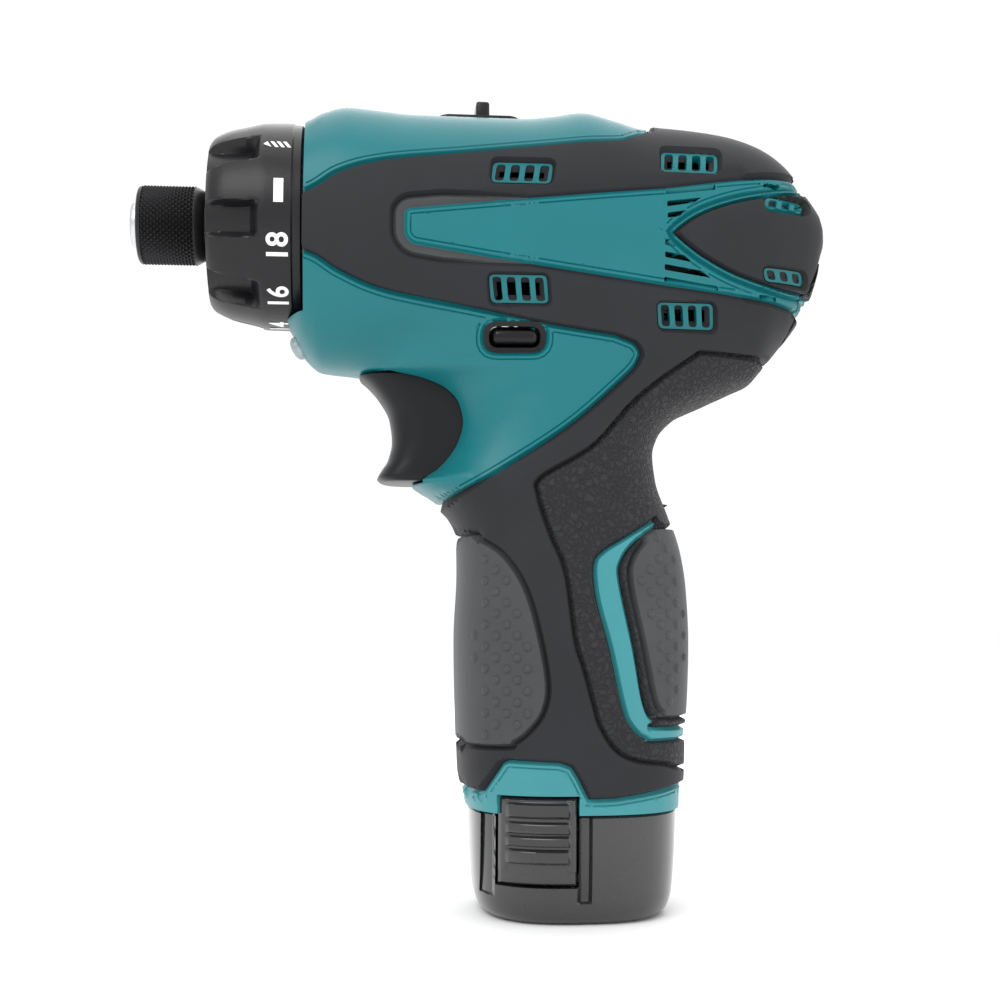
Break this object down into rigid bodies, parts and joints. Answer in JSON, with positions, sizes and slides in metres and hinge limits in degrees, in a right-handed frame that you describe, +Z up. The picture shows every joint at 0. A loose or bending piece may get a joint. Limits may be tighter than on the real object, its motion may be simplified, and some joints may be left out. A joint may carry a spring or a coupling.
{
  "type": "cordless drill",
  "caption": "Compact pistol-grip battery drill driver with a quick-change hex bit socket, numbered torque ring, planetary gear train and a battery that slides out of the handle.",
  "frame": {"origin": "centre of the battery's flat foot, on the ground", "axes": "+Z up; the bit socket points along -X; the handle's sides face -Y and +Y"},
  "size_m": [0.1505, 0.0512, 0.177],
  "materials": {
    "teal_shell": "satin moulded nylon",
    "soft_cover": "matt moulded elastomer",
    "black_plastic": "fine matt",
    "gloss_black": "polished",
    "black_metal": "black oxide",
    "steel": "machined",
    "alloy": "die cast",
    "bronze": "sintered",
    "copper": "turned",
    "ferrite": "ground",
    "carbon": "dull",
    "board": "lacquered",
    "lens": "clear",
    "cell_wrap": "shrink wrapped"
  },
  "bodies": {
    "body": {"housing_left": "teal_shell", "housing_right": "teal_shell", "grip_cover_left": "soft_cover", "grip_cover_right": "soft_cover", "rear_pad_left": "soft_cover", "rear_pad_right": "soft_cover", "housing_screw_1": "steel", "housing_screw_2": "steel", "housing_screw_3": "steel", "housing_screw_4": "steel", "housing_screw_5": "steel", "housing_screw_6": "steel", "gear_case": "alloy", "first_ring_gear": "steel", "second_ring_gear": "steel", "front_bushing": "bronze", "clutch_plate": "steel", "clutch_spring": "steel", "motor_can": "steel", "magnet_left": "ferrite", "magnet_right": "ferrite", "motor_end_cap": "black_plastic", "upper_brush": "carbon", "lower_brush": "carbon", "switch_body": "black_plastic", "trigger_spring": "steel", "lamp_lens": "lens", "lamp_board": "board", "terminal_block": "black_plastic"},
    "torque_ring": {"torque_ring": "black_plastic"},
    "clutch_nut": {"clutch_nut": "steel"},
    "spindle": {"spindle": "steel", "retaining_ball": "steel", "second_carrier": "steel", "stop_washer": "steel", "sleeve_spring": "steel"},
    "bit_sleeve": {"bit_sleeve": "black_metal"},
    "second_planet_1": {"second_planet_1": "steel"},
    "second_planet_2": {"second_planet_2": "steel"},
    "second_planet_3": {"second_planet_3": "steel"},
    "first_carrier": {"first_carrier": "steel"},
    "first_planet_1": {"first_planet_1": "steel"},
    "first_planet_2": {"first_planet_2": "steel"},
    "first_planet_3": {"first_planet_3": "steel"},
    "rotor": {"motor_shaft": "steel", "armature": "black_metal", "commutator": "copper", "cooling_fan": "black_plastic"},
    "trigger": {"trigger": "black_plastic"},
    "direction_lever": {"direction_lever": "gloss_black"},
    "speed_selector": {"speed_selector": "black_plastic"},
    "battery": {"battery_case": "gloss_black", "cell_holder": "black_plastic", "cell_1": "cell_wrap", "cell_2": "cell_wrap", "cell_3": "cell_wrap"},
    "latch_left": {"latch_tab_left": "black_plastic"},
    "latch_right": {"latch_tab_right": "black_plastic"}
  },
  "joints": [
    {"name": "spindle_spin", "type": "hinge", "parent": "body", "child": "spindle", "pos_m": [-0.09, 0, 0.148], "axis": [1, 0, 0], "continuous": true},
    {"name": "carrier_spin", "type": "hinge", "parent": "body", "child": "first_carrier", "pos_m": [-0.042, 0, 0.148], "axis": [1, 0, 0], "continuous": true},
    {"name": "rotor_spin", "type": "hinge", "parent": "body", "child": "rotor", "pos_m": [0, 0, 0.148], "axis": [1, 0, 0], "continuous": true},
    {"name": "second_planet_1_spin", "type": "hinge", "parent": "spindle", "child": "second_planet_1", "pos_m": [-0.0467, 0.009, 0.148], "axis": [1, 0, 0], "continuous": true},
    {"name": "second_planet_2_spin", "type": "hinge", "parent": "spindle", "child": "second_planet_2", "pos_m": [-0.0467, -0.0045, 0.15579], "axis": [1, 0, 0], "continuous": true},
    {"name": "second_planet_3_spin", "type": "hinge", "parent": "spindle", "child": "second_planet_3", "pos_m": [-0.0467, -0.0045, 0.14021], "axis": [1, 0, 0], "continuous": true},
    {"name": "first_planet_1_spin", "type": "hinge", "parent": "first_carrier", "child": "first_planet_1", "pos_m": [-0.0345, 0.009, 0.148], "axis": [1, 0, 0], "continuous": true},
    {"name": "first_planet_2_spin", "type": "hinge", "parent": "first_carrier", "child": "first_planet_2", "pos_m": [-0.0345, -0.0045, 0.15579], "axis": [1, 0, 0], "continuous": true},
    {"name": "first_planet_3_spin", "type": "hinge", "parent": "first_carrier", "child": "first_planet_3", "pos_m": [-0.0345, -0.0045, 0.14021], "axis": [1, 0, 0], "continuous": true},
    {"name": "torque_ring_turn", "type": "hinge", "parent": "body", "child": "torque_ring", "pos_m": [-0.07, 0, 0.148], "axis": [1, 0, 0], "range_deg": [0, 306]},
    {"name": "clutch_nut_slide", "type": "slide", "parent": "body", "child": "clutch_nut", "axis": [1, 0, 0], "range_m": [0, 0.00501], "deforming": ["clutch_spring"]},
    {"name": "bit_sleeve_slide", "type": "slide", "parent": "spindle", "child": "bit_sleeve", "axis": [-1, 0, 0], "range_m": [0, 0.003], "stiffness_N_per_m": 1500, "springref_m": -0.002, "deforming": ["sleeve_spring"]},
    {"name": "trigger_press", "type": "slide", "parent": "body", "child": "trigger", "axis": [1, 0, 0], "range_m": [0, 0.006], "stiffness_N_per_m": 700, "springref_m": -0.003, "deforming": ["trigger_spring"]},
    {"name": "direction_slide", "type": "slide", "parent": "body", "child": "direction_lever", "axis": [0, 1, 0], "range_m": [-0.003, 0.003]},
    {"name": "speed_slide", "type": "slide", "parent": "body", "child": "speed_selector", "axis": [1, 0, 0], "range_m": [-0.006, 0]},
    {"name": "battery_slide", "type": "slide", "parent": "body", "child": "battery", "axis": [0, 0, -1], "range_m": [0, 0.08]},
    {"name": "left_latch_press", "type": "hinge", "parent": "battery", "child": "latch_left", "pos_m": [-0.0102, -0.0215, 0.009], "axis": [-1, 0, 0], "range_deg": [0, 3], "stiffness_Nm_per_rad": 1.5},
    {"name": "right_latch_press", "type": "hinge", "parent": "battery", "child": "latch_right", "pos_m": [-0.0102, 0.0215, 0.009], "axis": [1, 0, 0], "range_deg": [0, 3], "stiffness_Nm_per_rad": 1.5}
  ],
  "couplings": [
    {"joint": "carrier_spin", "follows": "rotor_spin", "ratio": 0.2},
    {"joint": "spindle_spin", "follows": "rotor_spin", "ratio": 0.05},
    {"joint": "second_planet_1_spin", "follows": "rotor_spin", "ratio": -0.15},
    {"joint": "second_planet_2_spin", "follows": "rotor_spin", "ratio": -0.15},
    {"joint": "second_planet_3_spin", "follows": "rotor_spin", "ratio": -0.15},
    {"joint": "first_planet_1_spin", "follows": "rotor_spin", "ratio": -0.53333},
    {"joint": "first_planet_2_spin", "follows": "rotor_spin", "ratio": -0.53333},
    {"joint": "first_planet_3_spin", "follows": "rotor_spin", "ratio": -0.53333},
    {"joint": "clutch_nut_slide", "follows": "torque_ring_turn", "m_per_rad": 0.00093621}
  ]
}
